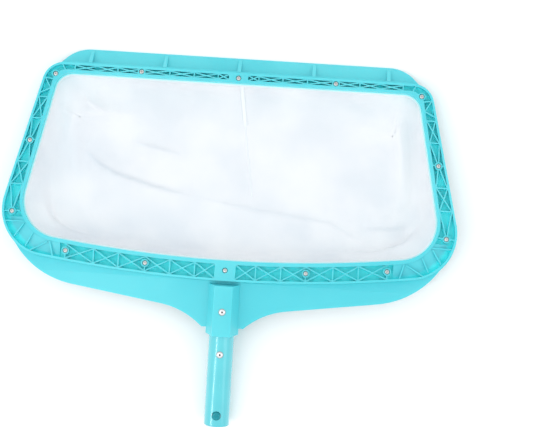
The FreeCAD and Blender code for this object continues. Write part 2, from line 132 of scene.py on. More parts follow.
def plastic(name, light, deep, rough, pockets=None):
    """Satin moulded plastic: slight colour drift, fine spark-eroded grain and a few long scuffs.
    Pockets are (up, level, colour): in pockets sunk below the level the plastic takes that colour, a
    painted glow of light."""
    finish = Finish(name, {"Specular IOR Level": 0.32, "Coat Weight": 0.06, "Coat Roughness": 0.35,
                           "Subsurface Weight": 0.35, "Subsurface Radius": (0.25, 1.0, 1.0),
                           "Subsurface Scale": 0.004})
    drift = finish.ramp(finish.grain(9.0, 3.0), 0.35, 0.68)
    spark = finish.grain(2600.0, 1.0)
    scuffs = finish.ramp(finish.grain(90.0, 4.0, (1.0, 14.0, 14.0)), 0.60, 0.80)
    tint = finish.blend(drift, light, deep)
    tint = finish.blend(scuffs * 0.10, tint, tuple(min(1.0, c * 1.25) for c in light[:3]) + (1.0,))
    # Painted glow: pocket floors sunk below the level take a lighter colour in place of gathered light.
    if pockets:
        up, level, glow = pockets
        rise = finish.node("ShaderNodeVectorMath", {"operation": "DOT_PRODUCT"},
                           {0: finish.place, 1: up}, out=1)
        sunk = finish.ramp(rise, level + GLOW_FULL, level + GLOW_NONE, 1.0, 0.0)
        tint = finish.blend(sunk, tint, glow)
    finish.surface(tint, drift * 0.06 + scuffs * 0.06 + rough, spark, 0.00003, 0.5)
    return finish.material


def coat(piece, material):
    """Give a piece one material in place of those that it has."""
    piece.data.materials.clear()
    piece.data.materials.append(material)


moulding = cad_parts["main_frame"]
coat(moulding, plastic("cyan_moulding", CYAN_PLATE, CYAN_DEEP, 0.36))

# ---------------------------------------------------------------- clamp ring
# A second moulding of the same plastic, hollowed into triangular pockets by truss ribs. It clamps the
# net's hem against the frame, and 14 screw bosses stand in it.
TILT = math.radians(5.6606)
RING_TO_ROW = Matrix.Translation((0.0, -0.030352, 0.042432)) @ Matrix.Rotation(-TILT, 4, "X")
RING_HEIGHT = 0.0085

ring_up = (RING_TO_ROW.to_3x3() @ Vector((0, 0, 1))).normalized()
ring_along = Vector((1.0, 0.0, 0.0))
# The ring's pocket floors are painted this lighter cyan: a painted glow of the light that gathers in the
# pockets.
POCKET_PAINTED_GLOW = (0.085, 0.950, 0.985, 1.0)
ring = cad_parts["clamp_ring"]
pockets = (ring_up, ring_up.dot(RING_TO_ROW.translation), POCKET_PAINTED_GLOW)
coat(ring, plastic("cyan_ring_moulding", CYAN_PLATE, CYAN_DEEP, 0.33, pockets))


def placed(name, data):
    """New object in the scene."""
    made = bpy.data.objects.new(name, data)
    bpy.context.scene.collection.objects.link(made)
    return made


def built(name, shape):
    """New object with the faces of a bmesh, which is freed."""
    mesh = bpy.data.meshes.new(name)
    shape.to_mesh(mesh)
    shape.free()
    return placed(name, mesh)


def settle(piece):
    """Turn the evaluated piece into its own plain mesh and take its modifiers off."""
    bpy.context.view_layer.update()
    graph = bpy.context.evaluated_depsgraph_get()
    mesh = bpy.data.meshes.new_from_object(piece.evaluated_get(graph), preserve_all_data_layers=True,
                                           depsgraph=graph)
    piece.modifiers.clear()
    piece.data = mesh
    mesh.name = piece.name


def shade(piece, degrees):
    """Smooth shading, with edges left sharp where they turn by more than so many degrees."""
    for face in piece.data.polygons:
        face.use_smooth = True
    piece.data.set_sharp_from_angle(angle=math.radians(degrees))


def copies_tree():
    """Geometry nodes that stand a copy of one piece on every point, turned to its attributes."""
    tree = bpy.data.node_groups.new("stand_copies", "GeometryNodeTree")
    tree.is_modifier = True
    face = tree.interface
    face.new_socket("Points", in_out="INPUT", socket_type="NodeSocketGeometry")
    face.new_socket("Piece", in_out="INPUT", socket_type="NodeSocketObject")
    face.new_socket("Size", in_out="INPUT", socket_type="NodeSocketFloat")
    face.new_socket("Twist", in_out="INPUT", socket_type="NodeSocketFloat")
    face.new_socket("Seed", in_out="INPUT", socket_type="NodeSocketInt")
    face.new_socket("Finish", in_out="INPUT", socket_type="NodeSocketMaterial")
    face.new_socket("Copies", in_out="OUTPUT", socket_type="NodeSocketGeometry")
    add = tree.nodes.new
    link = tree.links.new
    given = add("NodeGroupInput")
    result = add("NodeGroupOutput")
    piece = add("GeometryNodeObjectInfo")
    link(given.outputs["Piece"], piece.inputs["Object"])
    turned = None
    for attribute, axis in (("stand", "Z"), ("along", "X")):
        named = add("GeometryNodeInputNamedAttribute")
        named.data_type = "FLOAT_VECTOR"
        named.inputs["Name"].default_value = attribute
        align = add("FunctionNodeAlignRotationToVector")
        align.axis = axis
        align.pivot_axis = "Z" if axis == "X" else "AUTO"
        link(named.outputs["Attribute"], align.inputs["Vector"])
        if turned is not None:
            link(turned, align.inputs["Rotation"])
        turned = align.outputs["Rotation"]
    chance = add("FunctionNodeRandomValue")
    chance.data_type = "FLOAT"
    link(given.outputs["Twist"], chance.inputs[3])
    link(given.outputs["Seed"], chance.inputs["Seed"])
    spin = add("FunctionNodeAxisAngleToRotation")
    spin.inputs["Axis"].default_value = (0.0, 0.0, 1.0)
    link(chance.outputs[1], spin.inputs["Angle"])
    twist = add("FunctionNodeRotateRotation")
    twist.rotation_space = "LOCAL"
    link(turned, twist.inputs["Rotation"])
    link(spin.outputs["Rotation"], twist.inputs["Rotate By"])
    stand = add("GeometryNodeInstanceOnPoints")
    link(given.outputs["Points"], stand.inputs["Points"])
    link(piece.outputs["Geometry"], stand.inputs["Instance"])
    link(twist.outputs["Rotation"], stand.inputs["Rotation"])
    link(given.outputs["Size"], stand.inputs["Scale"])
    real = add("GeometryNodeRealizeInstances")
    link(stand.outputs["Instances"], real.inputs["Geometry"])
    paint = add("GeometryNodeSetMaterial")
    link(real.outputs["Geometry"], paint.inputs["Geometry"])
    link(given.outputs["Finish"], paint.inputs["Material"])
    link(paint.outputs["Geometry"], result.inputs["Copies"])
    return tree


COPIES = copies_tree()


def copies(name, places, piece, material, twist=0.0, seed=1):
    """One mesh of copies of a piece, each standing at (point, up, along) in the row frame."""
    points = bpy.data.meshes.new(name + "_points")
    points.from_pydata([place[0] for place in places], [], [])
    for number, attribute in ((1, "stand"), (2, "along")):
        values = [c for place in places for c in place[number]]
        points.attributes.new(attribute, "FLOAT_VECTOR", "POINT").data.foreach_set("vector", values)
    holder = placed(name, points)
    modifier = holder.modifiers.new("copies", "NODES")
    modifier.node_group = COPIES
    asked = {"Piece": piece, "Size": 1.0, "Twist": twist, "Seed": seed, "Finish": material}
    for item in COPIES.interface.items_tree:
        if item.name in asked and item.in_out == "INPUT":
            modifier[item.identifier] = asked[item.name]
    settle(holder)
    bpy.data.objects.remove(piece)
    shade(holder, 35)
    return holder


def spun(name, profile, segments=32):
    """Object turned from a (radius, height) profile about Z. A radius of 0 is a pole."""
    shape = bmesh.new()
    rings = []
    for radius, height in profile:
        if radius == 0.0:
            rings.append([shape.verts.new((0.0, 0.0, height))])
            continue
        turn = [2 * math.pi * i / segments for i in range(segments)]
        rings.append([shape.verts.new((radius * math.cos(a), radius * math.sin(a), height))
                      for a in turn])
    for low, high in zip(rings, rings[1:]):
        for i in range(segments):
            j = (i + 1) % segments
            corners = [low[i % len(low)], low[j % len(low)],
                       high[j % len(high)], high[i % len(high)]]
            kept = [c for n, c in enumerate(corners) if c not in corners[:n]]
            if len(kept) > 2:
                shape.faces.new(kept)
    bmesh.ops.recalc_face_normals(shape, faces=shape.faces)
    return built(name, shape)


# Ejector pins leave small round witness marks on some pocket floors. The places are in millimetres on
# the ring's right half, and the left half mirrors them.
RING_FLOOR = 0.0013
EJECTOR_FLOOR = RING_FLOOR - RING_HEIGHT
EJECTOR_AT = [(22.0, -4.6), (47.0, 2.0), (74.0, -4.0), (101.0, 3.6), (160.0, 8.0), (231.5, 31.0),
              (216.0, 192.5), (34.0, 211.0), (90.0, 214.2), (146.0, 210.8), (229.0, 92.0),
              (221.5, 168.0)]

PIN_PROFILE = [(0.0, 0.00012), (0.0006, 0.00012), (0.0009, 0.00025), (0.00105, 0.00025),
               (0.00115, -0.0001), (0.0, -0.0001)]
pin_mark = spun("pin_mark", PIN_PROFILE, 20)
marks = []
for side in (-1, 1):
    for x, y in EJECTOR_AT:
        at = RING_TO_ROW @ Vector((side * x / 1000, y / 1000, EJECTOR_FLOOR))
        marks.append((at, ring_up, ring_along))
ejector_marks = copies("ejector_marks", marks, pin_mark, ring.data.materials[0])
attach(ejector_marks, "skimmer")

# ---------------------------------------------------------------- ring screws
# Fourteen zinc-plated pan-head screws with cross recesses, driven by hand, so their recesses point
# every way. Each passes through the ring and the hem into a boss under the frame.
THREAD_CREST = 0.00145
THREAD_ROOT = 0.00118
SCREW_CROWN = -0.0003
SCREW_HEAD = [(0.0, SCREW_CROWN), (0.0012, -0.00032), (0.0019, -0.00045), (0.0024, -0.00075),
              (0.0027, -0.0012), (0.00275, -0.0017), (0.0027, -0.0023), (THREAD_CREST, -0.0023)]
SHANK_START = 0.0006
THREAD_PITCH = 0.0009
THREAD_END = -0.0148
RECESS_HALF = 0.00165
RECESS_WIDTH = 0.00085
RECESS_DEPTH = 0.0012
RECESS_FLOOR_SHARE = 0.45
RECESS_CLEAR = 0.001
SCREWS_APART = 0.02

profile = list(SCREW_HEAD)
turn_at = SCREW_HEAD[-1][1] - SHANK_START
while turn_at > THREAD_END:
    profile += [(THREAD_ROOT, turn_at), (THREAD_CREST, turn_at - 0.3 * THREAD_PITCH),
                (THREAD_ROOT, turn_at - 0.6 * THREAD_PITCH)]
    turn_at -= THREAD_PITCH
profile += [(0.0008, THREAD_END - 0.0004), (0.0, THREAD_END - 0.0008)]
screw = spun("pan_head_screw", profile)

recess = bmesh.new()
for quarter in (0.0, math.pi / 2):
    arm = bmesh.ops.create_cube(recess, size=1.0)["verts"]
    for corner in arm:
        taper = 1.0 if corner.co.z > 0 else RECESS_FLOOR_SHARE
        corner.co.x *= 2 * RECESS_HALF * taper
        corner.co.y *= RECESS_WIDTH * taper
        corner.co.z = RECESS_CLEAR if corner.co.z > 0 else SCREW_CROWN - RECESS_DEPTH
    bmesh.ops.rotate(recess, verts=arm, matrix=Matrix.Rotation(quarter, 3, "Z"))
cross = built("cross_recess", recess)
cut = screw.modifiers.new("recess", "BOOLEAN")
cut.operation = "DIFFERENCE"
cut.use_self = True
cut.object = cross
settle(screw)
bpy.data.objects.remove(cross)


def metal(name, colour, dull, rough, streaks=(1.0, 1.0, 1.0)):
    """Plain metal with a faint brushed or tumbled grain and duller spots."""
    finish = Finish(name, {"Metallic": 1.0, "Specular IOR Level": 0.5})
    spots = finish.ramp(finish.grain(700.0, 3.0), 0.45, 0.7)
    brushed = finish.grain(2200.0, 2.0, streaks)
    finish.surface(finish.blend(spots * 0.7, colour, dull), spots * 0.16 + brushed * 0.12 + rough,
                   brushed, 0.00003, 0.6)
    return finish.material


# Each screw of the CAD node gives the place of one copy.
islands = []
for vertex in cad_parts["ring_screws"].data.vertices:
    for island in islands:
        if (vertex.co - island[0]).length < SCREWS_APART:
            island.append(vertex.co)
            break
    else:
        islands.append([vertex.co])
row_to_ring = RING_TO_ROW.inverted()
heads = []
for island in islands:
    local = [row_to_ring @ co for co in island]
    x = (min(p.x for p in local) + max(p.x for p in local)) / 2
    y = (min(p.y for p in local) + max(p.y for p in local)) / 2
    heads.append((RING_TO_ROW @ Vector((x, y, 0.0)), ring_up, ring_along))
zinc = metal("zinc_plate", (0.66, 0.65, 0.64, 1.0), (0.40, 0.38, 0.37, 1.0), 0.28)
screws = copies("cross_head_screws", heads, screw, zinc, twist=math.pi / 2, seed=7)
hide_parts("ring_screws")
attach(screws, "skimmer")

# ---------------------------------------------------------------- net hem
# The net's edge is folded over and sewn with a lock stitch. It is clamped between ring and frame, and
# its rolled fold shows as a thin white line inside the ring.
# The ring's opening and the bow of its low edge, in millimetres on the ring's plane.
OPENING = {"low_y": 10.7, "side_x": 220.9, "lean": 0.205, "top_y": 206.8, "low_r": 42.0, "top_r": 20.0}
BOW_RADIUS = 1400.0
BOW_REACH = 176.0
SIDE_REF_Y = 100.0
ARC_STEP = 2.0
OPENING_ROUND = 1.2
HEM_TOP = -0.0085
HEM_THICKNESS = 0.0006
HEM_OUTWARD = 0.0078
ROLL_IN = 0.0013
ROLL_RADIUS = 0.0007
ROLL_STEPS = 6
HEM_SPACING = 0.0045
CLOTH_RELIEF = 0.00006
# Colour of the painted shade that darkens the cloth along the packing creases.
CREASE_PAINTED_SHADE = (0.52, 0.57, 0.63, 1.0)
THREAD_WHITE = (0.86, 0.875, 0.885, 1.0)
THREAD_SHADE = (0.78, 0.80, 0.815, 1.0)


def opening_outline(grow, spacing):
    """Points and outward normals round the ring's opening, in metres on the ring's plane. The opening
    is grown by so many millimetres, and the points are about a spacing apart."""
    slope = math.tan(math.asin(BOW_REACH / BOW_RADIUS))
    rise = BOW_RADIUS * (math.hypot(1.0, slope) - 1.0)
    lean = OPENING["lean"]
    low = OPENING["low_y"] - grow - rise
    side = OPENING["side_x"] + grow * math.hypot(1.0, lean) + SIDE_REF_Y * lean
    top = OPENING["top_y"] + grow
    low_x = (side - low * lean) / (1.0 + slope * lean)
    top_x = side - top * lean
    low_r = OPENING["low_r"] + grow
    top_r = OPENING["top_r"] + grow
    corners = [(0.0, low, BOW_RADIUS), (low_x, low + slope * low_x, low_r), (top_x, top, top_r),
               (-top_x, top, top_r), (-low_x, low + slope * low_x, low_r)]
    line = []
    for i, (x, y, radius) in enumerate(corners):
        corner = Vector((x, y))
        back = (Vector(corners[i - 1][:2]) - corner).normalized()
        ahead = (Vector(corners[(i + 1) % 5][:2]) - corner).normalized()
        half = back.angle(ahead) / 2
        centre = corner + (back + ahead).normalized() * (radius / math.sin(half))
        start = corner + back * (radius / math.tan(half)) - centre
        sweep = math.pi - 2 * half
        steps = max(8, int(radius * sweep / ARC_STEP))
        for n in range(steps + 1):
            line.append(centre + Matrix.Rotation(sweep * n / steps, 2) @ start)
    count = round(OPENING_ROUND / spacing)
    lengths = [(line[(i + 1) % len(line)] - p).length for i, p in enumerate(line)]
    step = sum(lengths) / count
    places = []
    at = 0
    gone = 0.0
    for n in range(count):
        while gone + lengths[at] < n * step:
            gone += lengths[at]
            at += 1
        share = (n * step - gone) / lengths[at] if lengths[at] else 0.0
        places.append(line[at].lerp(line[(at + 1) % len(line)], share) / 1000)
    normals = []
    for n in range(count):
        run = places[(n + 1) % count] - places[n - 1]
        normals.append(Vector((run.y, -run.x)).normalized())
    return places, normals


def swept_round_opening(name, section, spacing):
    """Closed band round the opening with a section of (outward, up) points."""
    places, normals = opening_outline(0.0, spacing)
    shape = bmesh.new()
    loops = []
    for place, normal in zip(places, normals):
        loop = []
        for outward, up in section:
            at = place + normal * outward
            loop.append(shape.verts.new(RING_TO_ROW @ Vector((at.x, at.y, up))))
        loops.append(loop)
    for n, loop in enumerate(loops):
        ahead = loops[(n + 1) % len(loops)]
        for i in range(len(loop)):
            j = (i + 1) % len(loop)
            shape.faces.new((loop[i], loop[j], ahead[j], ahead[i]))
    bmesh.ops.recalc_face_normals(shape, faces=shape.faces)
    for face in shape.faces:
        face.smooth = True
    return built(name, shape)


hem_middle = HEM_TOP - HEM_THICKNESS / 2
section = [(HEM_OUTWARD, HEM_TOP), (HEM_OUTWARD, HEM_TOP - HEM_THICKNESS), (0.0, HEM_TOP - HEM_THICKNESS)]
for step in range(ROLL_STEPS + 1):
    angle = -math.pi / 2 - math.pi * step / ROLL_STEPS
    section.append((-ROLL_IN + ROLL_RADIUS * math.cos(angle), hem_middle + ROLL_RADIUS * math.sin(angle)))
section.append((0.0, HEM_TOP))
hem = swept_round_opening("net_hem_roll", section, HEM_SPACING)


def cloth_finish(name, thread, shadow, pitch, clear, rough):
    """Plain-woven polyester. Its threads, open holes, thicker yarns and soiling all follow the cloth."""
    finish = Finish(name, {"Specular IOR Level": 0.25, "Sheen Weight": 0.15, "Sheen Roughness": 0.5}, "UV")
    turn = 2 * math.pi / pitch
    across = finish.node("ShaderNodeSeparateXYZ", {}, {0: finish.place})
    along = Wire(finish, across.socket.node.outputs[1])
    warp = across.maths("SINE", across * turn)
    weft = across.maths("SINE", along * turn)
    holes = finish.ramp(warp * weft, -0.2, 0.9)
    yarn = finish.grain(420.0, 2.0, (1.0, 0.05, 1.0))
    cloud = finish.ramp(finish.grain(14.0, 3.0), 0.32, 0.7)
    tint = finish.blend(cloud * 0.6 + holes * 0.15, thread, shadow)
    # The attribute pressed darkens the colour towards a painted shade along the packing creases.
    pressed = finish.node("ShaderNodeAttribute", {"attribute_name": "pressed"}, out=2)
    tint = finish.blend(pressed * 0.35, tint, CREASE_PAINTED_SHADE)
    finish.surface(tint, rough + cloud * 0.1, (1 - holes) * 0.7 + yarn * 0.3, CLOTH_RELIEF, 0.6,
                   1 - holes * clear)
    return finish.material


def dress(piece, material):
    coat(piece, material)


hem_cloth = cloth_finish("hem_cloth", THREAD_WHITE, THREAD_SHADE, pitch=0.0008, clear=0.0, rough=0.75)
layer = hem.data.uv_layers.new(name="flat")
for face in hem.data.polygons:
    for corner in face.loop_indices:
        co = hem.data.vertices[hem.data.loops[corner].vertex_index].co
        layer.data[corner].uv = (co.x, co.y)
dress(hem, hem_cloth)
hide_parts("net_hem")
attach(hem, "skimmer")

# ---------------------------------------------------------------- net bag
# Fine white polyester net, sewn to the hem, with a doubled seam down its middle. The skimmer lies on a
# flat surface, so the bag rests on it and its slack settles in creases. Its cloth is simulated.
CLOTH_SPACING = 0.0045
WALL_ROWS = 10
WALL_DROP = 0.036
FLOOR_INSET = 0.026
FLOOR_SHIFT = -0.012
BAG_INSIDE = -0.0004
INNER_GAP = 0.72 * CLOTH_SPACING
CLOTH_THICKNESS = 0.00025
GROUND_START = -0.045
GROUND_END = 0.0006
SIM_FRAMES = 60
GROUND_FRAMES = 40
FENCE_OUT = 0.004
FENCE_SPACING = 0.012
FENCE_TOP = -0.002
FENCE_LOW = -0.08
IRON_PASSES = 14
NET_WHITE = (0.84, 0.855, 0.875, 1.0)
NET_SHADE = (0.69, 0.740, 0.795, 1.0)

rim, _ = opening_outline(BAG_INSIDE * 1000, CLOTH_SPACING)
base, _ = opening_outline(-FLOOR_INSET * 1000, CLOTH_SPACING)
count = len(rim)
base = [p + Vector((0.0, FLOOR_SHIFT)) for p in base]
bag_points = []
bag_flat = []
for row in range(WALL_ROWS + 1):
    share = row / WALL_ROWS
    for n in range(count):
        at = rim[n].lerp(base[n], share)
        bag_points.append(RING_TO_ROW @ Vector((at.x, at.y, hem_middle - WALL_DROP * share)))
        outward = (rim[n] - base[n]).normalized()
        length = math.hypot(WALL_DROP, (rim[n] - base[n]).length)
        bag_flat.append(base[n] + outward * length * (1 - share))
bag_faces = []
for row in range(WALL_ROWS):
    for n in range(count):
        m = (n + 1) % count
        a = row * count + n
        b = row * count + m
        bag_faces.append((a, b, b + count, a + count))

# The bag's floor is filled with even triangles.
inner = []
lift = CLOTH_SPACING * math.sqrt(3) / 2
reach = max(p.x for p in base)
line = 0
y = min(p.y for p in base)
edge = [(base[n], base[(n + 1) % count]) for n in range(count)]
while y < max(p.y for p in base):
    x = -reach + (line % 2) * CLOTH_SPACING / 2
    while x < reach:
        spot = Vector((x, y))
        crossings = sum((a.y > y) != (b.y > y) and x < a.x + (y - a.y) * (b.x - a.x) / (b.y - a.y)
                        for a, b in edge)
        if crossings % 2 and min((spot - p).length for p in base) > INNER_GAP:
            inner.append(spot)
        x += CLOTH_SPACING
    y += lift
    line += 1
loop_edges = [(n, (n + 1) % count) for n in range(count)]
flat_verts, _, flat_faces, *_ = delaunay_2d_cdt(base + inner, loop_edges, [], 1, 1e-7)
start = WALL_ROWS * count
for at in flat_verts[count:]:
    bag_points.append(RING_TO_ROW @ Vector((at.x, at.y, hem_middle - WALL_DROP)))
    bag_flat.append(Vector(at))
bag_faces += [tuple(start + v for v in face) for face in flat_faces]

bag_mesh = bpy.data.meshes.new("net_bag_cloth")
bag_mesh.from_pydata(bag_points, [], bag_faces)
shape = bmesh.new()
shape.from_mesh(bag_mesh)
bmesh.ops.recalc_face_normals(shape, faces=shape.faces)
if sum(face.normal.z for face in shape.faces if len(face.verts) == 3) < 0:
    bmesh.ops.reverse_faces(shape, faces=shape.faces)
layer = shape.loops.layers.uv.new("flat")
for face in shape.faces:
    face.smooth = True
    for corner in face.loops:
        corner[layer].uv = bag_flat[corner.vert.index]
bag_area = sum(face.calc_area() for face in shape.faces)
shape.to_mesh(bag_mesh)
shape.free()
bag = placed("net_bag_cloth", bag_mesh)


def collider(name, points, faces):
    """Surface that stops the cloth."""
    mesh = bpy.data.meshes.new(name)
    mesh.from_pydata(points, [], faces)
    made = placed(name, mesh)
    made.modifiers.new("stop", "COLLISION")
    made.collision.thickness_outer = 0.001
    made.collision.thickness_inner = 0.006
    made.collision.cloth_friction = 8.0
    return made


def simulate_bag():
    """Let the bag hang from its hem, then bring the ground up under it until it bears the bag."""
    pinned = bag.vertex_groups.new(name="hem")
    pinned.add(list(range(count)), 1.0, "REPLACE")
    cloth = bag.modifiers.new("cloth", "CLOTH")
    cloth.settings.vertex_group_mass = "hem"
    cloth.settings.quality = 8
    cloth.settings.mass = 0.12
    cloth.settings.air_damping = 1.0
    cloth.settings.tension_stiffness = 25
    cloth.settings.compression_stiffness = 20
    cloth.settings.shear_stiffness = 12
    cloth.settings.bending_stiffness = 1.2
    cloth.settings.tension_damping = 10
    cloth.collision_settings.use_collision = True
    cloth.collision_settings.distance_min = 0.001
    cloth.collision_settings.collision_quality = 4
    cloth.collision_settings.use_self_collision = True
    cloth.collision_settings.self_distance_min = 0.001
    cloth.point_cache.frame_start = 1
    cloth.point_cache.frame_end = SIM_FRAMES
    ground = collider("ground_stop", [(-1, -1, 0), (1, -1, 0), (1, 1, 0), (-1, 1, 0)], [(0, 1, 2, 3)])
    skirt, _ = opening_outline(FENCE_OUT * 1000, FENCE_SPACING)
    top = [RING_TO_ROW @ Vector((p.x, p.y, hem_middle + FENCE_TOP)) for p in skirt]
    low = [Vector((p.x, p.y, FENCE_LOW)) for p in top]
    around = len(skirt)
    sides = [(n, (n + 1) % around, around + (n + 1) % around, around + n) for n in range(around)]
    fence = collider("flange_stop", top + low, sides)
    scene = bpy.context.scene
    scene.frame_start = 1
    scene.frame_end = SIM_FRAMES
    for number in range(1, SIM_FRAMES + 1):
        share = min(1.0, number / GROUND_FRAMES)
        ground.location.z = GROUND_START + (GROUND_END - GROUND_START) * (1 - (1 - share) ** 2)
        scene.frame_set(number)
    settle(bag)
    scene.frame_set(1)
    bag.vertex_groups.clear()
    bpy.data.objects.remove(ground)
    bpy.data.objects.remove(fence)


CREASE_GAIN = 1.4
CREASE_DROP = 0.0022
# Width and full strength of the painted shade along the creases.
CREASE_SHADE_WIDTH = 0.0026
FULL_CREASE_SHADE = 0.004
FREE_BELOW = 0.020
FREE_OVER = 0.012
GROUND_GAP = 0.0004
# Creases pressed in by packing: each is a line on the ground, its height and how far it fades.
CREASES = [
    ([(-0.168, 0.094), (-0.148, 0.078), (-0.130, 0.069), (-0.090, 0.058), (-0.047, 0.049)], 0.0042, 0.016),
    ([(-0.052, 0.050), (0.024, 0.039), (0.111, 0.029), (0.165, 0.002)], 0.0016, 0.010),
    ([(-0.114, 0.105), (-0.086, 0.100), (-0.057, 0.094)], 0.0026, 0.012),
    ([(-0.169, 0.1495), (-0.158, 0.141), (-0.145, 0.136)], 0.0020, 0.009),
    ([(0.150, 0.025), (0.180, 0.027), (0.196, 0.029)], 0.0020, 0.009),
]


def crease_lift(x, y):
    """Height of the packing creases at a place, a soft swell beside each sharp drop, and the share of
    painted shade along them.
    """
    total = 0.0
    crease_shade = 0.0
    for line, height, fade in CREASES:
        run = 0.0
        whole = sum(math.dist(a, b) for a, b in zip(line, line[1:]))
        best = None
        for a, b in zip(line, line[1:]):
            length = math.dist(a, b)
            ux, uy = (b[0] - a[0]) / length, (b[1] - a[1]) / length
            t = (x - a[0]) * ux + (y - a[1]) * uy
            off = (y - a[1]) * ux - (x - a[0]) * uy
            near = min(max(t, 0.0), length)
            gap = math.hypot(t - near, off)
            if best is None or gap < best[0]:
                best = (gap, math.copysign(gap, off), (run + near) / whole)
            run += length
        gap, side, share = best
        ends = max(0.0, 1.0 - abs(2 * share - 1) ** 3)
        width = fade if side > 0 else CREASE_DROP
        total += height * ends * math.exp(-(gap / width) ** 1.6)
        crease_shade = max(crease_shade, ends * min(1.0, height / FULL_CREASE_SHADE) * math.exp(-(gap / CREASE_SHADE_WIDTH) ** 2))
    return total, crease_shade


simulate_bag()
ease = bag.vertex_groups.new(name="free")
ease.add(list(range(count, len(bag.data.vertices))), 1.0, "REPLACE")
iron = bag.modifiers.new("pressed", "SMOOTH")
iron.vertex_group = "free"
iron.factor = 0.5
iron.iterations = IRON_PASSES
finer = bag.modifiers.new("finer", "SUBSURF")
finer.levels = 1
finer.render_levels = 1
settle(bag)
bag.vertex_groups.clear()
# The attribute pressed holds the painted shade along the creases, fading out up the walls.
pressed = bag.data.attributes.new("pressed", "FLOAT", "POINT")
for vertex in bag.data.vertices:
    co = vertex.co
    free = min(1.0, max(0.0, (FREE_BELOW - co.z) / FREE_OVER))
    lift, crease_shade = crease_lift(co.x, co.y)
    co.z = max(co.z + CREASE_GAIN * lift * free, GROUND_GAP)
    pressed.data[vertex.index].value = crease_shade * free
seam_tree = BVHTree.FromPolygons([v.co.copy() for v in bag.data.vertices],
                                 [list(p.vertices) for p in bag.data.polygons])
wall = bag.modifiers.new("thickness", "SOLIDIFY")
wall.thickness = CLOTH_THICKNESS
wall.offset = 1.0
settle(bag)

net_cloth = cloth_finish("net_cloth", NET_WHITE, NET_SHADE, pitch=0.0009, clear=0.25, rough=0.7)
dress(bag, net_cloth)
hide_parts("net_bag")
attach(bag, "skimmer")

# The seam is a doubled strip, stitched along both edges on the blade side and single further down.
SEAM_LINE = [(0.0035, 0.1735), (0.0058, 0.158), (0.0085, 0.140), (0.0098, 0.131), (0.0140, 0.105),
             (0.0185, 0.078), (0.0226, 0.050)]
SEAM_WIDE_TO = 0.131
SEAM_WIDTH = 0.0052
SEAM_STEP = 0.002
SINGLE_SHARE = 0.26
DOUBLED_RISE = 0.00045
SINGLE_RISE = 0.0002
EDGE_RISE = 0.0001
TAPE_THICKNESS = 0.0003
SEAM_WHITE = (0.83, 0.855, 0.88, 1.0)
SEAM_SHADE = (0.76, 0.80, 0.84, 1.0)
STITCH_PITCH = 0.0032
STITCH_HALF = 0.0011
STITCH_SIDES = 6
STITCH_LIFT = 0.0003
ROLL_STITCH_IN = 0.0016
ROLL_STITCH_UP = 0.00045
YARN_RADIUS = 0.00022
YARN_WHITE = (0.85, 0.88, 0.91, 1.0)
YARN_SHADE = (0.68, 0.73, 0.79, 1.0)


def on_bag(x, y):
    """Place and upward normal on the bag's inside, straight down from above."""
    place, normal, _, _ = seam_tree.ray_cast(Vector((x, y, 0.1)), Vector((0, 0, -1)))
    if place is None:
        return Vector((x, y, 0.001)), Vector((0, 0, 1))
    return place, normal if normal.z > 0 else -normal


def seam_spot(y):
    """How far to the right the seam runs at a y."""
    for a, b in zip(SEAM_LINE, SEAM_LINE[1:]):
        if a[1] >= y >= b[1]:
            share = (a[1] - y) / (a[1] - b[1])
            return a[0] + (b[0] - a[0]) * share
    return SEAM_LINE[-1][0]


shape = bmesh.new()
strips = []
y = SEAM_LINE[0][1]
while y > SEAM_LINE[-1][1]:
    doubled = y > SEAM_WIDE_TO
    half = SEAM_WIDTH / 2 * (1.0 if doubled else SINGLE_SHARE)
    middle = DOUBLED_RISE if doubled else SINGLE_RISE
    row = []
    for side, rise in ((-1.0, EDGE_RISE), (-0.4, middle), (0.4, middle), (1.0, EDGE_RISE)):
        place, normal = on_bag(seam_spot(y) + side * half, y)
        row.append(shape.verts.new(place + normal * (CLOTH_THICKNESS + rise)))
    strips.append(row)
    y -= SEAM_STEP
for a, b in zip(strips, strips[1:]):
    for i in range(3):
        face = shape.faces.new((a[i], b[i], b[i + 1], a[i + 1]))
        face.smooth = True
layer = shape.loops.layers.uv.new("flat")
for face in shape.faces:
    for corner in face.loops:
        corner[layer].uv = corner.vert.co.xy
seam = built("bag_seam", shape)
tape = seam.modifiers.new("thickness", "SOLIDIFY")
tape.thickness = TAPE_THICKNESS
tape.offset = -1.0
settle(seam)
seam_cloth = cloth_finish("seam_cloth", SEAM_WHITE, SEAM_SHADE, pitch=0.0009, clear=0.0, rough=0.7)
dress(seam, seam_cloth)
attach(seam, "skimmer")


def stitch_piece():
    """One lock stitch: a short round thread, dipping at both ends."""
    shape = bmesh.new()
    rings = []
    for share in (-1.0, -0.7, 0.0, 0.7, 1.0):
        thick = YARN_RADIUS * (1.0 - 0.75 * abs(share) ** 4)
        rise = 0.00016 - 0.00034 * share ** 4
        around = []
        for n in range(STITCH_SIDES):
            angle = 2 * math.pi * n / STITCH_SIDES
            corner = (share * STITCH_HALF, thick * math.cos(angle), rise + thick * math.sin(angle))
            around.append(shape.verts.new(corner))
        rings.append(around)
    for a, b in zip(rings, rings[1:]):
        for n in range(STITCH_SIDES):
            m = (n + 1) % STITCH_SIDES
            shape.faces.new((a[n], a[m], b[m], b[n]))
    shape.faces.new(rings[0])
    shape.faces.new(rings[-1])
    bmesh.ops.recalc_face_normals(shape, faces=shape.faces)
    return built("lock_stitch", shape)


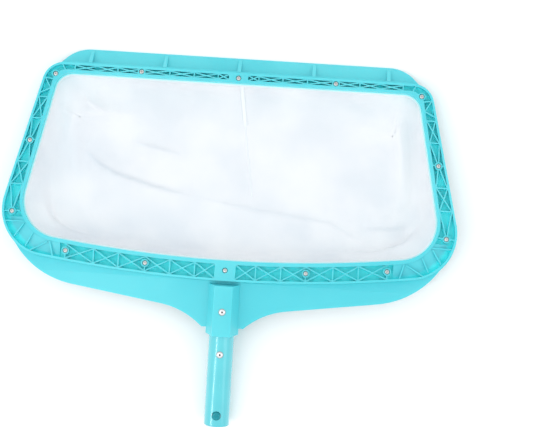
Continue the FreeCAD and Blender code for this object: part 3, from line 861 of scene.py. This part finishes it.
stitches = []
y = SEAM_LINE[0][1] - 0.001
while y > SEAM_LINE[-1][1] + 0.002:
    for side in ((-0.85, 0.85) if y > SEAM_WIDE_TO else (0.0,)):
        place, normal = on_bag(seam_spot(y) + side * SEAM_WIDTH / 2, y)
        ahead, _ = on_bag(seam_spot(y - 0.001) + side * SEAM_WIDTH / 2, y - 0.001)
        at = place + normal * (CLOTH_THICKNESS + STITCH_LIFT)
        stitches.append((at, normal, (ahead - place).normalized()))
    y -= STITCH_PITCH
rolled, outward = opening_outline(-ROLL_STITCH_IN * 1000, STITCH_PITCH)
turn_to_row = RING_TO_ROW.to_3x3()
for n, place in enumerate(rolled):
    run = rolled[(n + 1) % len(rolled)] - rolled[n - 1]
    up = (ring_up - (turn_to_row @ outward[n].to_3d()) * 0.8).normalized()
    at = RING_TO_ROW @ Vector((place.x, place.y, hem_middle + ROLL_STITCH_UP))
    stitches.append((at, up, (turn_to_row @ run.to_3d()).normalized()))
thread = Finish("sewing_thread", {"Specular IOR Level": 0.3, "Sheen Weight": 0.2})
twist = thread.grain(5200.0, 1.0)
thread.surface(thread.blend(twist, YARN_WHITE, YARN_SHADE), twist * 0.2 + 0.5, twist, 0.00004)
lock_stitches = copies("lock_stitches", stitches, stitch_piece(), thread.material)
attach(lock_stitches, "skimmer")

# ---------------------------------------------------------------- handle tube
# Aluminium tube, powder-coated light cyan with a gloss. It stands in the socket and has a cross hole
# for the clip's buttons near its open end.
TUBE_RADIUS = 0.0139
TUBE_ARRIS = 0.00025
OUTER_BAND = 0.0003
WELD_GAP = 2e-6
FLAT_TURN = math.radians(0.6)
SHARP_TURN = math.radians(32)
BEND_Y = -0.012
FLANGE_MIDDLE = -0.0106
BEND_ANGLE = math.radians(12.5)
PAINT_CYAN = (0.085, 0.580, 0.645, 1.0)
PAINT_DEEP = (0.070, 0.535, 0.605, 1.0)
PAINT_WORN = (0.30, 0.80, 0.88, 1.0)
HANDLE_TO_ROW = (RING_TO_ROW @ Matrix.Translation((0.0, BEND_Y, FLANGE_MIDDLE))
                 @ Matrix.Rotation(BEND_ANGLE, 4, "X"))
ROW_TO_HANDLE = HANDLE_TO_ROW.inverted()


def even_tube(co):
    """The CAD tube's guide stretch stands a hair proud. Here the outside has one radius."""
    at = ROW_TO_HANDLE @ co
    radius = math.hypot(at.x, at.z)
    if radius > TUBE_RADIUS - OUTER_BAND:
        at.x *= TUBE_RADIUS / radius
        at.z *= TUBE_RADIUS / radius
    return HANDLE_TO_ROW @ at


def softened_tube():
    """The CAD tube, evened, with its doubles merged and its sharp edges rounded over."""
    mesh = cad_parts["handle_tube"].data.copy()
    shape = bmesh.new()
    shape.from_mesh(mesh)
    for vertex in shape.verts:
        vertex.co = even_tube(vertex.co)
    bmesh.ops.remove_doubles(shape, verts=shape.verts, dist=WELD_GAP)
    bmesh.ops.dissolve_limit(shape, angle_limit=FLAT_TURN, verts=shape.verts, edges=shape.edges)
    for face in shape.faces:
        face.smooth = True
    shape.to_mesh(mesh)
    shape.free()
    for stale in [a.name for a in mesh.attributes if a.name == "custom_normal"]:
        mesh.attributes.remove(mesh.attributes[stale])
    piece = placed("handle_spigot", mesh)
    bevel = piece.modifiers.new("arris", "BEVEL")
    bevel.width = TUBE_ARRIS
    bevel.segments = 2
    bevel.limit_method = "ANGLE"
    bevel.angle_limit = SHARP_TURN
    bevel.use_clamp_overlap = False
    bevel.harden_normals = True
    settle(piece)
    return piece


tube = softened_tube()
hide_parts("handle_tube")
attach(tube, "skimmer")
paint = Finish("cyan_powder_coat", {"Specular IOR Level": 0.5, "Coat Weight": 1.0, "Coat Roughness": 0.11})
drift = paint.ramp(paint.grain(16.0, 2.0), 0.35, 0.7)
peel = paint.grain(900.0, 1.0)
slid = paint.ramp(paint.grain(300.0, 4.0, (1.0, 0.04, 1.0)), 0.60, 0.85)
tint = paint.blend(slid * 0.12, paint.blend(drift, PAINT_CYAN, PAINT_DEEP), PAINT_WORN)
paint.surface(tint, drift * 0.05 + slid * 0.08 + 0.22, peel, 0.00002, 0.4)
dress(tube, paint.material)

# ---------------------------------------------------------------- rivets
# Two aluminium blind rivets: a domed head with the broken mandrel sunk in its middle, and a set tail
# inside the tube. One ties the socket to the tube, and one backs the clip and stops the pole.
RIVET_SHANK = 0.0024
RIVET_PROFILE = [(0.0, -0.0006), (0.00045, -0.0007), (0.0007, -0.0009), (0.0009, -0.0008),
                 (0.00098, 0.0011), (0.0012, 0.00132), (0.0019, 0.00125), (0.0028, 0.0009),
                 (0.0036, 0.0004), (0.0039, 0.00012), (0.0039, 0.0), (RIVET_SHANK, 0.0)]
TAIL_RADIUS = 0.0031
RIVET_RIM = 0.0031
MANDREL_RADIUS = 0.00075
RIM_FADE = 0.0003
TUBE_INSIDE = 0.0125
SOCKET_RIVET_AT, SOCKET_TOP = 0.0305, 0.0170
STOP_RIVET_AT, TUBE_TOP = 0.0786, 0.0138
rivet_finish = Finish("rivet_aluminium", {"Metallic": 1.0, "Specular IOR Level": 0.5}, "UV")
radius = rivet_finish.node("ShaderNodeSeparateXYZ", {}, {0: rivet_finish.place})
# The head's outer flank is painted dark grey, a painted shade and darker reflection. The sunk mandrel is
# painted near black: its darker steel, and painted shade in its hole.
rim = rivet_finish.ramp(radius, RIVET_RIM - RIM_FADE, RIVET_RIM + RIM_FADE)
mandrel_hole_shade = rivet_finish.ramp(radius, MANDREL_RADIUS, MANDREL_RADIUS + RIM_FADE, 1.0, 0.0)
tumbled = rivet_finish.grain(1800.0, 2.0)
tint = rivet_finish.blend(rim, (0.86, 0.87, 0.88, 1.0), (0.36, 0.38, 0.39, 1.0))
tint = rivet_finish.blend(mandrel_hole_shade, tint, (0.055, 0.035, 0.035, 1.0))
rivet_finish.surface(rivet_finish.blend(tumbled * 0.3, tint, (0.40, 0.41, 0.42, 1.0)),
                     tumbled * 0.15 + mandrel_hole_shade * 0.3 + 0.22, tumbled, 0.00003, 0.6)


def blind_rivet(name, node, at, seat):
    """Blind rivet on the handle's upper side, with its tail against the inside of the tube wall."""
    tail_top = math.sqrt(TUBE_INSIDE ** 2 - TAIL_RADIUS ** 2) - seat
    profile = RIVET_PROFILE + [(RIVET_SHANK, tail_top), (0.0029, tail_top - 0.0004),
                               (TAIL_RADIUS, tail_top - 0.002), (0.0029, tail_top - 0.0048),
                               (0.0022, tail_top - 0.0062), (0.0, tail_top - 0.0064)]
    rivet = spun(name, profile)
    layer = rivet.data.uv_layers.new(name="radius")
    for corner in rivet.data.loops:
        co = rivet.data.vertices[corner.vertex_index].co
        layer.data[corner.index].uv = (math.hypot(co.x, co.y), co.z)
    rivet.data.transform(HANDLE_TO_ROW @ Matrix.Translation((0.0, -at, seat)))
    shade(rivet, 40)
    dress(rivet, rivet_finish.material)
    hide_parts(node)
    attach(rivet, "skimmer")


blind_rivet("blind_rivet_socket", "socket_rivet", SOCKET_RIVET_AT, SOCKET_TOP)
blind_rivet("blind_rivet_stop", "stop_rivet", STOP_RIVET_AT, TUBE_TOP)

# ---------------------------------------------------------------- spring clip and buttons
# A bent strip of spring steel inside the tube carries a moulded button on each leg. Pressing both
# buttons lets a pole slide on.
STEEL = (0.52, 0.53, 0.54, 1.0)
STEEL_DULL = (0.36, 0.36, 0.37, 1.0)
BUTTON_TEAL = (0.004, 0.33, 0.38, 1.0)
BUTTON_DEEP = (0.002, 0.24, 0.29, 1.0)
BUTTON_AT = 0.1473
BUTTON_RADIUS = 0.0044
BUTTON_SEAT = 0.01007
BUTTON_PROFILE = [(0.0, 0.01505), (0.0012, 0.01505), (0.00135, 0.0152), (0.0026, 0.0152),
                  (0.0036, 0.01505), (0.0042, 0.0147), (BUTTON_RADIUS, 0.0142),
                  (BUTTON_RADIUS, BUTTON_SEAT), (0.0, BUTTON_SEAT)]

spring_steel = metal("spring_steel", STEEL, STEEL_DULL, 0.24, (1.0, 0.04, 1.0))
for node in ("clip_bend", "clip_leg_upper", "clip_leg_lower"):
    coat(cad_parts[node], spring_steel)
button_plastic = plastic("button_moulding", BUTTON_TEAL, BUTTON_DEEP, 0.30)
for side, leg in ((1, "upper"), (-1, "lower")):
    button = spun("lock_button_" + leg, BUTTON_PROFILE)
    turn = Matrix.Identity(4) if side > 0 else Matrix.Rotation(math.pi, 4, "Y")
    button.data.transform(HANDLE_TO_ROW @ Matrix.Translation((0.0, -BUTTON_AT, 0.0)) @ turn)
    shade(button, 40)
    dress(button, button_plastic)
    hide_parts("clip_button_" + leg)
    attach(button, leg + "_leg")

# ---------------------------------------------------------------- floor, light and camera
# Plain white studio table in an even white room, with a wide soft light from the left, a fill from the
# right and a narrow strip that the tube's gloss mirrors.
TABLE_HALF = 4
ROOM_WHITE = (0.97, 0.985, 1.0, 1.0)
floor_mesh = bpy.data.meshes.new("studio_floor")
table_corners = [(x * TABLE_HALF, y * TABLE_HALF, 0) for x, y in ((-1, -1), (1, -1), (1, 1), (-1, 1))]
floor_mesh.from_pydata(table_corners, [], [(0, 1, 2, 3)])
floor = placed("studio_floor", floor_mesh)
table = Finish("studio_table", {"Specular IOR Level": 0.1})
paper = table.grain(3.0, 2.0)
table.surface(table.blend(paper, (0.97, 0.97, 0.97, 1.0), (0.96, 0.96, 0.96, 1.0)), paper * 0.05 + 0.85)
floor.data.materials.append(table.material)

room = bpy.data.worlds.new("white_room")
bpy.context.scene.world = room
room.use_nodes = True
walls = room.node_tree.nodes["Background"]
walls.inputs["Color"].default_value = ROOM_WHITE
walls.inputs["Strength"].default_value = 1.10


def soft_light(name, place, target, width, height, power):
    """White rectangle of light, aimed at a target."""
    lamp = bpy.data.lights.new(name, "AREA")
    lamp.shape = "RECTANGLE"
    lamp.size = width
    lamp.size_y = height
    lamp.energy = power
    made = placed(name, lamp)
    made.location = place
    made.rotation_euler = (Vector(target) - Vector(place)).to_track_quat("-Z", "Y").to_euler()


soft_light("left_softbox", (-1.3, 0.35, 1.0), (0.0, 0.0, 0.0), 0.9, 1.2, 1.0)
soft_light("right_fill", (1.2, -0.3, 1.1), (0.0, 0.0, 0.0), 0.9, 0.9, 2.2)
soft_light("highlight_strip", (-0.90, -0.60, 1.45), (0.0, -0.1, 0.0), 0.05, 2.0, 5.8)

camera_data = bpy.data.cameras.new("camera")
camera_data.lens = 91.18
camera_data.sensor_width = 36.0
camera = placed("camera", camera_data)
right = Vector((0.99744, 0.06543, -0.02890))
up = Vector((-0.06574, 0.99779, -0.00987))
back = Vector((0.02820, 0.01174, 0.99953))
turn = Matrix((right, up, back)).transposed().to_4x4()
camera.matrix_world = Matrix.Translation((0.0823, 0.051536, 1.506294)) @ turn
bpy.context.scene.camera = camera
bpy.context.scene.view_settings.view_transform = "Standard"
